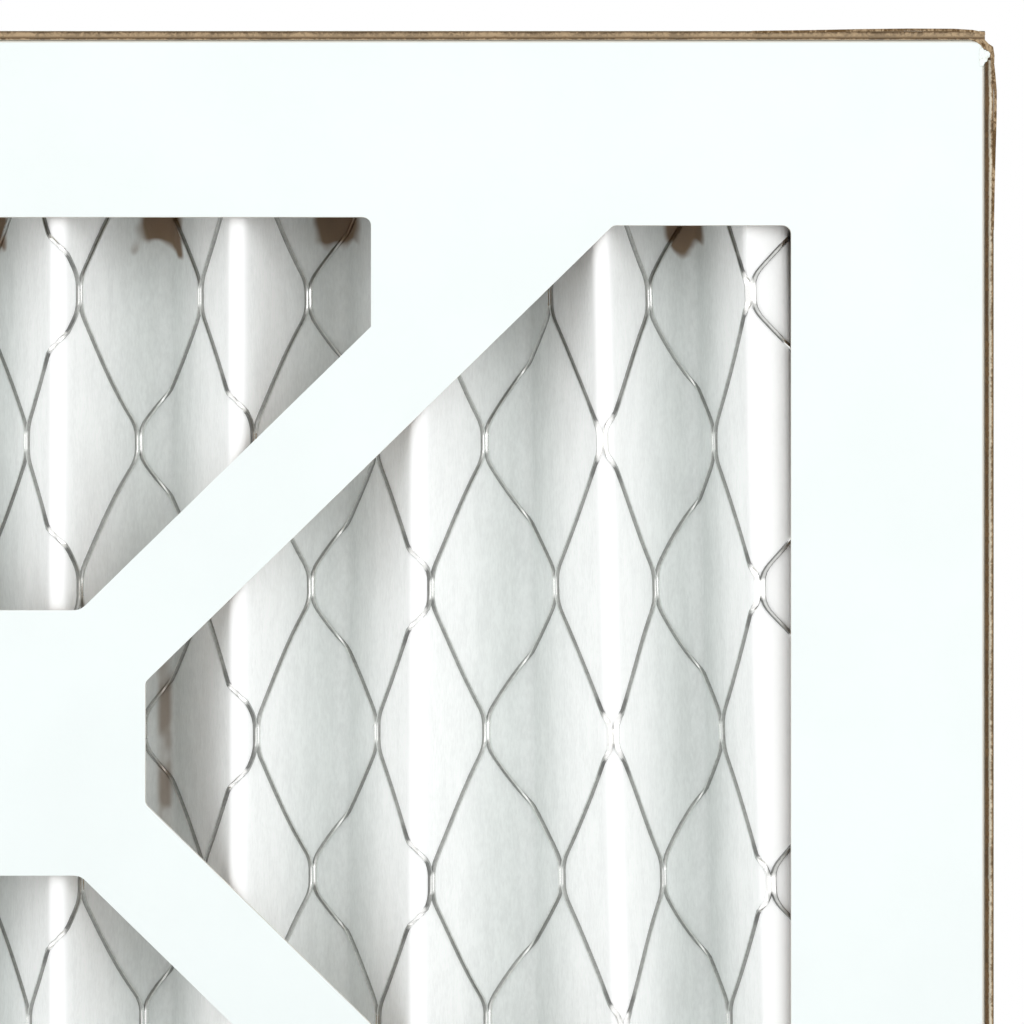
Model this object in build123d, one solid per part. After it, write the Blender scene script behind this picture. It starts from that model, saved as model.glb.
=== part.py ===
from build123d import *
from math import asin, atan2, ceil, cos, hypot, radians, sin, tan
import os

# A disposable pleated panel filter. Everything is drawn in panel axes: X across the width, Y up the
# height, Z from the middle of the depth towards the front. stand_up() then sets it on its long edge.

INCH = 25.4

# Panel: nominal 10 x 6 x 1 inch, made a quarter of an inch under on every side.
WIDTH = 9.75 * INCH
HEIGHT = 5.75 * INCH
DEPTH = 0.75 * INCH

# Frame board: clay-coated paperboard, creased and folded.
BOARD = 0.95
CREASE = 0.5  # outside radius of a creased edge
TAB_LENGTH = 13.0  # glue tabs of the outer tray, folded round its corners
TAB_SETBACK = 0.25  # the tabs stop this far behind the inner tray's face
TAB_GAP = 0.3  # room between the glue tabs and the inner tray's flaps
WALL_RELIEF = 3.2  # how much shorter the outer side walls are at their free edge, at each end
WALL_RELIEF_BASE = 0.4  # the same at their crease

# Die-cut pattern of both faces.
TOP_BORDER = 19.1  # above the top window and below the bottom one
SIDE_WINDOW_BORDER = 19.95  # above and below the two side windows
SIDE_BORDER = 20.8
TOP_WINDOW_WIDTH = 119.9
HUB_HEIGHT = 27.2  # centre bar between the top and bottom windows
HUB_WIDTH = 60.3  # flat stretch of the bar's edges, between the straps
NOSE_TO_NOSE = 73.6  # between the blunt tips of the two side windows
STRAP_WIDTH = 9.9
STRAP_ANGLE = 44.3  # degrees above the horizontal
WINDOW_RADIUS = 0.9
HUB_RADIUS = 1.7

# Pleated pack.
PLEATS = 14  # folds that touch the front face
MEDIA = 1.5  # thickness of the nonwoven
TIP_RADIUS = 1.6  # outside radius of the media at a front tip
SEALANT = 0.8  # thickness of the adhesive beads on the pleat ends

# Expanded-metal backing, one and a half meshes to each pleat.
METAL = 0.4
STRAND = 0.5  # width of a strand seen from the front
LONG_WAY = 29.75  # long way of the mesh, up the panel
MESHES_PER_PLEAT = 1.5
BOND = 2.8  # length of the knuckle where two strands run together
NODE_AFTER_TIP = 3.5  # developed distance from the second front tip to a row of knuckles
NODE_HEIGHT = 45.6  # height of that row above the middle of the panel

# Worked out from the above.
INNER_WIDTH = WIDTH - 2 * BOARD
INNER_HEIGHT = HEIGHT - 2 * BOARD
PACK_WIDTH = WIDTH - 4 * BOARD
PACK_HEIGHT = HEIGHT - 4 * BOARD - 2 * SEALANT
CREST_Z = DEPTH / 2 - BOARD - METAL  # front of the media at its front tips
VALLEY_Z = MEDIA + BOARD - DEPTH / 2  # front of the media at its rear folds
REAR_Z = BOARD - DEPTH / 2  # inner surface of the rear face
LAST_TIP = PACK_WIDTH / 2 - TIP_RADIUS
PITCH = LAST_TIP / (PLEATS / 2 - 0.5)


def flank_angle():
    """Angle of the pleat flanks to the panel, for flanks that are tangent to the tip radius."""
    straight_drop = CREST_Z - VALLEY_Z - TIP_RADIUS
    half_pitch = PITCH / 2
    lean = atan2(straight_drop, half_pitch)
    return lean + asin(TIP_RADIUS / hypot(half_pitch, straight_drop))


ANGLE = flank_angle()
TIP_RISE = TIP_RADIUS * (1 / cos(ANGLE) - 1)  # from a rounded tip to where its flanks would meet
TIP_FLAT = TIP_RADIUS * tan(ANGLE / 2)  # half the flat of the metal over a tip
FLANK = (CREST_Z - VALLEY_Z) / sin(ANGLE)  # from a rear fold to the start of the flat
DEVELOPED = 2 * (FLANK + TIP_FLAT)  # unfolded length of one pleat
SHORT_WAY = DEVELOPED / MESHES_PER_PLEAT


def mirrored(sketch, plane):
    return sketch + mirror(sketch, about=plane)


def windows():
    """The four windows: trapezia above and below the centre bar, arrowheads at its ends."""
    slope = tan(radians(STRAP_ANGLE))
    strap_drop = STRAP_WIDTH / cos(radians(STRAP_ANGLE))
    hub_x = HUB_WIDTH / 2
    hub_y = HUB_HEIGHT / 2
    shoulder_x = TOP_WINDOW_WIDTH / 2
    shoulder_y = hub_y + slope * (shoulder_x - hub_x)
    top_y = HEIGHT / 2 - TOP_BORDER
    top = Polygon(
        (-hub_x, hub_y),
        (hub_x, hub_y),
        (shoulder_x, shoulder_y),
        (shoulder_x, top_y),
        (-shoulder_x, top_y),
        (-shoulder_x, shoulder_y),
        align=None,
    )
    hub_corners = top.vertices().group_by(Axis.Y)[0]
    top = fillet(hub_corners, HUB_RADIUS)
    top = fillet(top.vertices().group_by(Axis.Y)[-1], WINDOW_RADIUS)

    nose_x = NOSE_TO_NOSE / 2
    nose_y = hub_y + slope * (nose_x - hub_x) - strap_drop
    side_y = HEIGHT / 2 - SIDE_WINDOW_BORDER
    side_x = WIDTH / 2 - SIDE_BORDER
    corner_x = nose_x + (side_y - nose_y) / slope
    side = Polygon(
        (nose_x, -nose_y),
        (nose_x, nose_y),
        (corner_x, side_y),
        (side_x, side_y),
        (side_x, -side_y),
        (corner_x, -side_y),
        align=None,
    )
    side = fillet(side.vertices(), WINDOW_RADIUS)
    return mirrored(top, Plane.XZ) + mirrored(side, Plane.YZ)


def open_tray(width, height, depth):
    """Windowed face on Z = 0 with four walls of board standing on it, all creases crisp."""
    outside = Pos(0, 0, depth / 2) * Box(width, height, depth)
    outside = fillet(outside.faces().sort_by(Axis.Z)[0].edges(), CREASE)
    inside = Pos(0, 0, BOARD + depth / 2) * Box(width - 2 * BOARD, height - 2 * BOARD, depth)
    return outside - inside - extrude(windows(), 2 * BOARD, both=True)


def at_corners(piece):
    """The piece drawn for the corner at +X +Y, and its images at the other three."""
    pair = [piece, mirror(piece, about=Plane.YZ)]
    return pair + [mirror(other, about=Plane.XZ) for other in pair]


def rear_frame():
    """Outer tray: walls come forward to the front face, top and bottom ones end in glue tabs."""
    tray = open_tray(WIDTH, HEIGHT, DEPTH)
    wall_x = WIDTH / 2 - BOARD
    corner_y = HEIGHT / 2
    relief_side = Polyline(
        (wall_x, corner_y - WALL_RELIEF_BASE, BOARD),
        (wall_x, corner_y + BOARD, BOARD),
        (wall_x, corner_y + BOARD, DEPTH + BOARD),
        (wall_x, corner_y - WALL_RELIEF, DEPTH + BOARD),
        close=True,
    )
    relief = extrude(make_face(relief_side), 2 * BOARD, dir=(1, 0, 0))
    for cut in at_corners(relief):
        tray -= cut

    tab_depth = DEPTH - 2 * BOARD - TAB_SETBACK
    tab = Pos(wall_x - BOARD, corner_y, BOARD) * Box(
        BOARD, BOARD + TAB_LENGTH, tab_depth, align=(Align.MIN, Align.MAX, Align.MIN)
    )
    for fold in at_corners(tab):
        tray += fold
    return Pos(0, 0, -DEPTH / 2) * tray


def front_frame():
    """Inner tray: its flaps fold back inside the outer walls, between the glue tabs."""
    tray = open_tray(INNER_WIDTH, INNER_HEIGHT, DEPTH - BOARD)
    notch_x = INNER_WIDTH / 2 - BOARD - TAB_GAP
    notch_y = INNER_HEIGHT / 2 - TAB_LENGTH - TAB_GAP
    notch = Pos(notch_x, notch_y, BOARD) * Box(
        2 * BOARD, 2 * TAB_LENGTH, DEPTH, align=(Align.MIN, Align.MIN, Align.MIN)
    )
    for cut in at_corners(notch):
        tray -= cut
    return Pos(0, 0, DEPTH / 2) * Rot(0, 180, 0) * tray


def tips():
    """Panel X of every front tip, from left to right; the rear folds lie half way between them."""
    return [index * PITCH - LAST_TIP for index in range(PLEATS)]


def pleated_media():
    """The nonwoven: sharp rear folds and round front tips, its end legs laid against the flaps."""
    end_x = PACK_WIDTH / 2
    apex = CREST_Z + TIP_RISE
    drop = MEDIA / cos(ANGLE)  # shift of a flank's line from the front of the sheet to its back
    end_apex = apex + TIP_RADIUS * tan(ANGLE)
    inner_end_apex = apex - drop + (TIP_RADIUS - MEDIA) * tan(ANGLE)
    front = [(-end_x, REAR_Z), (-end_x, end_apex)]
    back = [(MEDIA - end_x, REAR_Z), (MEDIA - end_x, inner_end_apex)]
    folds = [x + PITCH / 2 for x in tips()[:-1]]
    for tip, fold in zip(tips()[1:], folds):
        front += [(fold, VALLEY_Z), (tip, apex)]
        back += [(fold, VALLEY_Z - drop), (tip, apex - drop)]
    front[-1] = (end_x, end_apex)
    back[-1] = (end_x - MEDIA, inner_end_apex)
    front.append((end_x, REAR_Z))
    back.append((end_x - MEDIA, REAR_Z))

    section = make_face(Polyline(*front, *reversed(back), close=True))
    margin = 0.1
    rear_folds = section.vertices().filter_by_position(Axis.Y, VALLEY_Z - drop - margin, REAR_Z - margin)
    section = fillet(rear_folds, MEDIA)
    outer_tips = section.vertices().filter_by_position(Axis.Y, CREST_Z, end_apex + margin)
    section = fillet(outer_tips, TIP_RADIUS)
    return extrude(Plane.XZ * section, PACK_HEIGHT / 2, both=True)


def seen_at(developed):
    """Panel X of the point at this developed distance from the middle rear fold."""
    pleat, along = divmod(developed, DEVELOPED)
    start = pleat * PITCH
    if along < FLANK:
        return start + along * cos(ANGLE)
    if along < DEVELOPED - FLANK:
        return start + PITCH / 2 - TIP_FLAT + along - FLANK
    return start + PITCH - (DEVELOPED - along) * cos(ANGLE)


def strand_edge(begin, end, begin_shift, end_shift):
    """One edge of an opening between two developed points, bent wherever the sheet is folded."""
    run = end[0] - begin[0]
    creases = []
    for pleat in range(-PLEATS, PLEATS):
        base = pleat * DEVELOPED
        creases += [base, base + FLANK, base + DEVELOPED - FLANK]
    shares = sorted((crease - begin[0]) / run for crease in creases)
    shares = [0.0] + [share for share in shares if 0.0 < share < 1.0]
    points = []
    for share in shares:
        across = seen_at(begin[0] + run * share)
        shift = begin_shift + (end_shift - begin_shift) * share
        points.append((across + shift, begin[1] + (end[1] - begin[1]) * share))
    return points


def opening(middle, height):
    """Outline of the opening centred here: four strands, with a knuckle at each corner."""
    half_short = SHORT_WAY / 2
    half_bond = BOND / 2
    reach = LONG_WAY / 2 - half_bond
    right = middle + half_short
    left = middle - half_short
    outline = strand_edge((middle, height + reach), (right, height + half_bond), 0, -STRAND)
    outline.append((seen_at(right) - STRAND, height + half_bond))
    outline += strand_edge((right, height - half_bond), (middle, height - reach), -STRAND, 0)
    outline += strand_edge((middle, height - reach), (left, height - half_bond), 0, STRAND)
    outline.append((seen_at(left) + STRAND, height - half_bond))
    outline += strand_edge((left, height + half_bond), (middle, height + reach), STRAND, 0)
    return Polygon(*outline, align=None)


def support_mesh():
    """Expanded metal folded with the media: a pleated sheet with the openings let through it."""
    end_x = LAST_TIP + TIP_FLAT
    outer_flat = (TIP_RADIUS + METAL) * tan(ANGLE / 2)
    back = [(-end_x, CREST_Z), (TIP_FLAT - LAST_TIP, CREST_Z)]
    front = [(-end_x, CREST_Z + METAL), (outer_flat - LAST_TIP, CREST_Z + METAL)]
    for tip in tips()[1:]:
        fold = tip - PITCH / 2
        back += [(fold, VALLEY_Z), (tip - TIP_FLAT, CREST_Z), (tip + TIP_FLAT, CREST_Z)]
        front.append((fold, VALLEY_Z + METAL / cos(ANGLE)))
        front += [(tip - outer_flat, CREST_Z + METAL), (tip + outer_flat, CREST_Z + METAL)]
    front[-1] = (end_x, CREST_Z + METAL)
    section = make_face(Polyline(*front, *reversed(back), close=True))
    sheet = extrude(Plane.XZ * section, PACK_HEIGHT / 2, both=True)

    node = DEVELOPED * 1.5 + NODE_AFTER_TIP
    columns = ceil((DEVELOPED * PLEATS / 2 + node) / (SHORT_WAY / 2))
    rows = ceil(PACK_HEIGHT / (LONG_WAY / 2))
    openings = []
    for column in range(-columns, columns + 1):
        middle = node + column * SHORT_WAY / 2
        if abs(middle) > DEVELOPED * PLEATS / 2 + SHORT_WAY / 2:
            continue
        for row in range(-rows, rows + 1):
            height = NODE_HEIGHT + row * LONG_WAY / 2
            is_knuckle = (column + row) % 2 == 0
            if is_knuckle or abs(height) > (PACK_HEIGHT + LONG_WAY) / 2:
                continue
            openings.append(extrude(opening(middle, height), DEPTH / 2, both=True))
    # Trimming the sheet frees a few strand ends at its edges, and they drop off.
    return (sheet - openings).solids().sort_by(SortBy.VOLUME)[-1]


def edge_sealant():
    """A bead along each pleated edge, between the pleat ends and the inner tray's flap."""
    bead = Box(PACK_WIDTH, SEALANT, DEPTH - 2 * BOARD)
    offset = (PACK_HEIGHT + SEALANT) / 2
    return Part() + [Pos(0, offset, 0) * bead, Pos(0, -offset, 0) * bead]


def stand_up(piece):
    """From panel axes to the standing panel: front towards -Y, bottom edge on Z = 0."""
    return Pos(0, 0, HEIGHT / 2) * Rot(90, 0, 0) * piece


PIECES = {
    "front_frame": front_frame,
    "rear_frame": rear_frame,
    "pleated_media": pleated_media,
    "support_mesh": support_mesh,
    "edge_sealant": edge_sealant,
}

os.makedirs("parts", exist_ok=True)
for name, make in PIECES.items():
    export_step(stand_up(make()), f"parts/{name}.step")
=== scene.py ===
import random
from math import atan2, ceil, cos, pi, radians, sin

import bmesh
import bpy
from bpy.props import FloatProperty, FloatVectorProperty, IntProperty, PointerProperty
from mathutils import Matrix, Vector
from mathutils.geometry import interpolate_bezier


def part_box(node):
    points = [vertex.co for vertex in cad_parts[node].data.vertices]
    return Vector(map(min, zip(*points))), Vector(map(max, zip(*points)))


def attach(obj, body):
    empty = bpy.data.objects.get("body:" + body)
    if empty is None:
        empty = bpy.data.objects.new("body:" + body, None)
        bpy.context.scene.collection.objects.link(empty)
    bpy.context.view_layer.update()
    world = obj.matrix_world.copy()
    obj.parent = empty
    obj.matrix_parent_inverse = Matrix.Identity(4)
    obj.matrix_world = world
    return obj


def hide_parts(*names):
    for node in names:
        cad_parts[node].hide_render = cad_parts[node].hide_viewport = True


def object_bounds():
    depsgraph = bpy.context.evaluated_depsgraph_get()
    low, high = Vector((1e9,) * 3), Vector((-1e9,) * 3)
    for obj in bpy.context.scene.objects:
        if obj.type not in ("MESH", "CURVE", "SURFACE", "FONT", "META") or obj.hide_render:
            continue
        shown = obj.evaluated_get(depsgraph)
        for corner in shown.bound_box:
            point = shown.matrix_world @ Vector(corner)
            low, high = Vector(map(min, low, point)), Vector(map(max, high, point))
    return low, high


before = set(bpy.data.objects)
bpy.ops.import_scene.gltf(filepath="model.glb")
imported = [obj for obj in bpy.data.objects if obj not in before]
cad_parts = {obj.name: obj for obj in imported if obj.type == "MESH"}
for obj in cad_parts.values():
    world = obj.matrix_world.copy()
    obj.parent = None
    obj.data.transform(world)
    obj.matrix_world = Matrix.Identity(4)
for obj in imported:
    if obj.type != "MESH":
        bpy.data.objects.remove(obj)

bl_info = {
    "name": "Pleated Panel Filter",
    "version": (1, 0, 0),
    "blender": (4, 5, 0),
    "location": "View3D > Sidebar > Filter",
    "description": "Board, felt and folded expanded metal of a disposable panel filter",
    "category": "Object",
}

# The frame is in metres. X runs across the panel, -Y is its front and Z its height.
MM = 0.001
CAD_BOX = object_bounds()
PANEL_LOW, PANEL_HIGH = CAD_BOX
PACK_LOW, PACK_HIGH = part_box("pleated_media")
METAL_LOW, METAL_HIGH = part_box("support_mesh")
PANEL_SIZE = PANEL_HIGH - PANEL_LOW
MIDDLE_Z = (PANEL_LOW.z + PANEL_HIGH.z) / 2  # half way up the panel


def linear(red, green, blue):
    """A display colour, 0 to 255, as the linear colour that shaders take."""
    shares = (channel / 255 for channel in (red, green, blue))
    return tuple(s / 12.92 if s <= 0.04045 else ((s + 0.055) / 1.055) ** 2.4 for s in shares)


def opaque(colour):
    return (*colour[:3], 1.0)


# ---------------------------------------------------------------------------------------------
# What a user would change


class PleatSettings(bpy.types.PropertyGroup):
    """Sizes and colours of the felt pack."""

    tips: IntProperty(name="Front tips", description="Folds that touch the front face", default=14, min=4)
    tip_flat: FloatProperty(
        name="Tip flat", description="Width pressed flat on each front tip", default=0.8 * MM, unit="LENGTH"
    )
    shoulder: FloatProperty(
        name="Shoulder",
        description="How far the bend beside a tip's flat reaches",
        default=0.65 * MM,
        unit="LENGTH",
    )
    hollow: FloatProperty(
        name="Hollow", description="How far the round of a rear fold reaches", default=1.2 * MM, unit="LENGTH"
    )
    bow: FloatProperty(
        name="Bow",
        description="How much steeper than its mean a flank leaves a tip",
        default=radians(7),
        unit="ROTATION",
    )
    right_flare: FloatProperty(
        name="Right flare",
        description="How much flatter than its mean a flank that faces right meets its fold",
        default=radians(20),
        unit="ROTATION",
    )
    left_flare: FloatProperty(
        name="Left flare",
        description="How much flatter than its mean a flank that faces left meets its fold",
        default=radians(3),
        unit="ROTATION",
    )
    thickness: FloatProperty(
        name="Felt thickness",
        description="Thickness of the felt on the flanks",
        default=1.5 * MM,
        unit="LENGTH",
    )
    pressed: FloatProperty(
        name="Pressed thickness",
        description="Thickness of the felt under a tip",
        default=0.4 * MM,
        unit="LENGTH",
    )
    colour: FloatVectorProperty(
        name="Felt", description="Colour of clean felt", default=linear(253, 255, 254), subtype="COLOR"
    )
    # Painted shade: the felt is drawn greyer towards the rear folds, deeper in the pack.
    fold_shade_colour: FloatVectorProperty(
        name="Felt in the folds",
        description="Colour at the rear folds",
        default=linear(229, 233, 231),
        subtype="COLOR",
    )
    # Painted shade: brown shade at the top of the folds, under the frame's top border, and down one fold
    # beside the frame, drawn on the felt and on the metal; this is painted shade, not old glue.
    brown_shade_colour: FloatVectorProperty(
        name="Brown shade",
        description="Colour of old glue in the folds",
        default=linear(136, 116, 96),
        subtype="COLOR",
    )


class BackingSettings(bpy.types.PropertyGroup):
    """Sizes and colours of the expanded metal."""

    strand: FloatProperty(name="Strand", description="Width of one strand", default=0.56 * MM, unit="LENGTH")
    metal: FloatProperty(name="Metal", description="Thickness of the sheet", default=0.35 * MM, unit="LENGTH")
    long_way: FloatProperty(
        name="Long way", description="Height of one mesh", default=30.38 * MM, unit="LENGTH"
    )
    meshes: FloatProperty(name="Meshes", description="Meshes to each unfolded pleat", default=1.54)
    bond: FloatProperty(
        name="Bond", description="Length over which two strands run together", default=1.4 * MM, unit="LENGTH"
    )
    bond_after_tip: FloatProperty(
        name="Bond after tip",
        description="Unfolded distance from the reference tip to a bond",
        default=3.5 * MM,
        unit="LENGTH",
    )
    bond_height: FloatProperty(
        name="Bond height",
        description="Height of that bond above the table",
        default=119.2 * MM,
        unit="LENGTH",
    )
    askew: FloatProperty(
        name="Askew",
        description="How far out of square the sheet was laid",
        default=radians(0.55),
        unit="ROTATION",
    )
    face_colour: FloatVectorProperty(
        name="Strand face",
        description="Dull face of the strands",
        default=linear(232, 233, 230),
        subtype="COLOR",
    )
    # Painted shade: the sides of the strands are drawn darker than their face.
    side_shade_colour: FloatVectorProperty(
        name="Strand sides",
        description="Sheared sides of the strands",
        default=linear(172, 173, 170),
        subtype="COLOR",
    )
    # Painted highlight: the bends and the bonds are drawn near white.
    glint_colour: FloatVectorProperty(
        name="Painted glints",
        description="Bright bends and bonds",
        default=linear(250, 250, 248),
        subtype="COLOR",
    )


class BoardSettings(bpy.types.PropertyGroup):
    """Thickness and colours of the frame's board."""

    board: FloatProperty(name="Board", description="Thickness of the board", default=0.95 * MM, unit="LENGTH")
    clay: FloatVectorProperty(
        name="Clay coat",
        description="Outer face of the board",
        default=linear(232, 239, 238),
        subtype="COLOR",
    )
    kraft: FloatVectorProperty(
        name="Kraft", description="Inner face of the board", default=linear(158, 130, 96), subtype="COLOR"
    )
    core: FloatVectorProperty(
        name="Core", description="Middle plies in the rim", default=linear(176, 153, 122), subtype="COLOR"
    )
    # Besides the dark plies, this colour paints the shadowed gap next to the face in the side rims, as
    # painted shade, and the pits of the torn board.
    dark: FloatVectorProperty(
        name="Dark ply", description="Dark plies in the rim", default=linear(98, 76, 50), subtype="COLOR"
    )
    pale: FloatVectorProperty(
        name="Pale ply",
        description="Bared pale ply in the rim",
        default=linear(206, 198, 178),
        subtype="COLOR",
    )
    cut: FloatVectorProperty(
        name="Cut", description="Clean cut at the windows", default=linear(222, 219, 210), subtype="COLOR"
    )


class StageSettings(bpy.types.PropertyGroup):
    """Camera and lamps."""

    distance: FloatProperty(
        name="Camera distance", description="From the camera to the front face", default=0.48, unit="LENGTH"
    )
    view_width: FloatProperty(
        name="View width",
        description="Width of the view at the front face",
        default=104.96 * MM,
        unit="LENGTH",
    )
    aim_x: FloatProperty(
        name="Aim across",
        description="What the view is centred on",
        default=74.4 * MM,
        unit="LENGTH",
    )
    aim_z: FloatProperty(
        name="Aim height",
        description="What the view is centred on",
        default=96.7 * MM,
        unit="LENGTH",
    )
    ambient: FloatProperty(name="Ambient", description="Strength of the light from all round", default=0.92)
    key_power: FloatProperty(name="Key lamp", description="Power of the key lamp", default=2.8, unit="POWER")
    fill_power: FloatProperty(
        name="Fill lamp",
        description="Power of the fill lamp",
        default=1.1,
        unit="POWER",
    )


class FilterSettings(bpy.types.PropertyGroup):
    """Everything that can be set on the filter."""

    pleats: PointerProperty(type=PleatSettings, name="Pleats", description="Felt pack")
    backing: PointerProperty(type=BackingSettings, name="Backing", description="Expanded metal")
    board: PointerProperty(type=BoardSettings, name="Board", description="Frame board")
    stage: PointerProperty(type=StageSettings, name="Stage", description="Camera and lamps")


def settings():
    return bpy.context.scene.panel_filter


# ---------------------------------------------------------------------------------------------
# Shader helpers


def connect(tree, socket, value):
    """Sets a socket to a constant, or feeds it from the output socket given."""
    if isinstance(value, bpy.types.NodeSocket):
        tree.links.new(value, socket)
    else:
        socket.default_value = value


def put(tree, kind, inputs=None, **options):
    """Adds a node. An input is given as a value, or as the output socket that feeds it."""
    node = tree.nodes.new("ShaderNode" + kind)
    for name, value in options.items():
        setattr(node, name, value)
    for name, value in (inputs or {}).items():
        connect(tree, node.inputs[name], value)
    return node


def calc(tree, operation, *values, clamp=False):
    """A Math node's result."""
    return put(tree, "Math", dict(enumerate(values)), operation=operation, use_clamp=clamp).outputs[0]


def ramp(tree, value, low, high, start=0.0, end=1.0):
    """Value mapped smoothly from low..high to start..end, held outside."""
    inputs = {"Value": value, "From Min": low, "From Max": high, "To Min": start, "To Max": end}
    return put(tree, "MapRange", inputs, interpolation_type="SMOOTHSTEP").outputs["Result"]


MIX_COLOUR_SOCKETS = (0, 6, 7)  # a colour Mix node's factor and its two colours


def blend(tree, share, first, second):
    """A colour that goes from first to second as share goes from 0 to 1."""
    node = put(tree, "Mix", data_type="RGBA")
    for socket, value in zip(MIX_COLOUR_SOCKETS, (share, first, second)):
        connect(tree, node.inputs[socket], value)
    return node.outputs[2]


def scaled(tree, colour, share):
    """A colour made darker or lighter."""
    return put(tree, "VectorMath", {0: colour, "Scale": share}, operation="SCALE").outputs[0]


def apart(tree, vector):
    return put(tree, "SeparateXYZ", {"Vector": vector}).outputs


def object_point(tree, scale=1 / MM):
    """Object coordinates from the middle of the panel, in millimetres unless another scale is given."""
    place = put(tree, "TexCoord").outputs["Object"]
    inputs = {"Vector": place, "Location": (0, 0, -MIDDLE_Z * scale), "Scale": (scale, scale, scale)}
    return put(tree, "Mapping", inputs).outputs["Vector"]


def new_group(name, inputs, outputs):
    """An empty shader node group with these named sockets; returns the tree, its input and its output."""
    group = bpy.data.node_groups.new(name, "ShaderNodeTree")
    for label, kind, default in inputs:
        socket = group.interface.new_socket(label, in_out="INPUT", socket_type=kind)
        if default is not None:
            socket.default_value = default
    for label, kind in outputs:
        group.interface.new_socket(label, in_out="OUTPUT", socket_type=kind)
    return group, group.nodes.new("NodeGroupInput").outputs, group.nodes.new("NodeGroupOutput").inputs


def place_group(tree, name, **inputs):
    """The outputs of a node of the group with this name."""
    node = tree.nodes.new("ShaderNodeGroup")
    node.node_tree = bpy.data.node_groups[name]
    for label, value in inputs.items():
        connect(tree, node.inputs[label], value)
    return node.outputs


def fibre_group():
    """Short fibres lying mostly one way: a mask about one half, and the height that goes with it."""
    group, given, result = new_group(
        "fibres",
        [
            ("Point", "NodeSocketVector", None),
            ("Stretch", "NodeSocketVector", (1.0, 1.0, 1.0)),
            ("Scale", "NodeSocketFloat", 1.0),
            ("Swirl", "NodeSocketFloat", 0.5),
        ],
        [("Mask", "NodeSocketFloat"), ("Height", "NodeSocketFloat")],
    )
    stretched = {0: given["Point"], 1: given["Stretch"]}
    drawn = put(group, "VectorMath", stretched, operation="MULTIPLY").outputs[0]
    fine_inputs = {"Vector": drawn, "Scale": given["Scale"], "Distortion": given["Swirl"]}
    fine = put(group, "TexNoise", {**fine_inputs, "Detail": 3.0, "Roughness": 0.65}).outputs["Fac"]
    coarse_scale = calc(group, "MULTIPLY", given["Scale"], 0.18)
    coarse = put(group, "TexNoise", {"Vector": drawn, "Scale": coarse_scale, "Detail": 1.0}).outputs["Fac"]
    mask = calc(group, "MULTIPLY_ADD", fine, 0.65, calc(group, "MULTIPLY", coarse, 0.35))
    group.links.new(mask, result["Mask"])
    group.links.new(calc(group, "POWER", mask, 1.5), result["Height"])
    return group


def brown_shade_group():
    """Painted brown shade at the top of the folds, under the frame's top border, and down one fold beside the
    frame; Point is in millimetres.
    """
    group, given, result = new_group(
        "smears",
        [("Point", "NodeSocketVector", None)],
        [("Mask", "NodeSocketFloat")],
    )
    place = apart(group, given["Point"])
    noise = put(group, "TexNoise", {"Vector": given["Point"], "Scale": 0.3, "Detail": 1.0}).outputs["Fac"]
    ragged = calc(group, "MULTIPLY_ADD", noise, 5.0, -2.5)
    height = calc(group, "ADD", place["Z"], ragged)
    depth = calc(group, "ADD", place["Y"], calc(group, "MULTIPLY", ragged, 0.6))
    top = calc(group, "MULTIPLY", ramp(group, height, 51.2, 52.2), ramp(group, depth, 4.5, 6.0))
    beside = calc(group, "ABSOLUTE", calc(group, "SUBTRACT", place["X"], SHADE_STREAK_X))
    streak = calc(group, "MULTIPLY", ramp(group, beside, 0.3, 1.1, 0.75, 0.0), ramp(group, depth, 3.0, 5.0))
    span = calc(group, "ABSOLUTE", calc(group, "ADD", height, 3.0))
    streak = calc(group, "MULTIPLY", streak, ramp(group, span, 9.0, 13.0, 1.0, 0.0))
    patchy = calc(group, "MULTIPLY", streak, ramp(group, noise, 0.35, 0.6, 0.3, 1.0))
    group.links.new(calc(group, "MAXIMUM", top, patchy), result["Mask"])
    return group


def new_material(name, **constants):
    """A material with its Principled shader; constants are set on the shader's own sockets."""
    material = bpy.data.materials.new(name)
    material.use_nodes = True
    tree = material.node_tree
    shader = tree.nodes["Principled BSDF"]
    for socket, value in constants.items():
        shader.inputs[socket.replace("_", " ")].default_value = value
    return material, tree, shader


def feed(tree, shader, **sockets):
    for name, source in sockets.items():
        connect(tree, shader.inputs[name.replace("_", " ")], source)


def bumped(tree, height, strength, distance):
    inputs = {"Height": height, "Strength": strength, "Distance": distance}
    return put(tree, "Bump", inputs).outputs["Normal"]


def dress(piece, material):
    piece.data.materials.clear()
    piece.data.materials.append(material)


# ---------------------------------------------------------------------------------------------
# Modelling helpers


def only(piece):
    """Selects this piece alone and makes it the active one."""
    bpy.ops.object.select_all(action="DESELECT")
    piece.select_set(True)
    bpy.context.view_layer.objects.active = piece


def edit(piece):
    only(piece)
    bpy.ops.object.mode_set(mode="EDIT")
    bpy.ops.mesh.select_all(action="DESELECT")


def leave_edit():
    bpy.ops.object.mode_set(mode="OBJECT")


def pick(piece, kind, test):
    """In edit mode, selects exactly the verts, edges or faces that pass the test."""
    bpy.ops.mesh.select_mode(type={"verts": "VERT", "edges": "EDGE", "faces": "FACE"}[kind])
    bpy.ops.mesh.select_all(action="DESELECT")
    shape = bmesh.from_edit_mesh(piece.data)
    for element in getattr(shape, kind):
        element.select_set(test(element))
    shape.select_flush_mode()
    bmesh.update_edit_mesh(piece.data)


def modify(piece, kind, **options):
    """Adds a modifier and applies it at once."""
    only(piece)
    bpy.ops.object.modifier_add(type=kind)
    modifier = piece.modifiers[-1]
    for name, value in options.items():
        setattr(modifier, name, value)
    bpy.ops.object.modifier_apply(modifier=modifier.name)


def settle(piece, name):
    """Names the piece and moves its place into its mesh."""
    only(piece)
    bpy.ops.object.transform_apply(location=True, rotation=True, scale=True)
    piece.name = name
    piece.data.name = name


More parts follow.
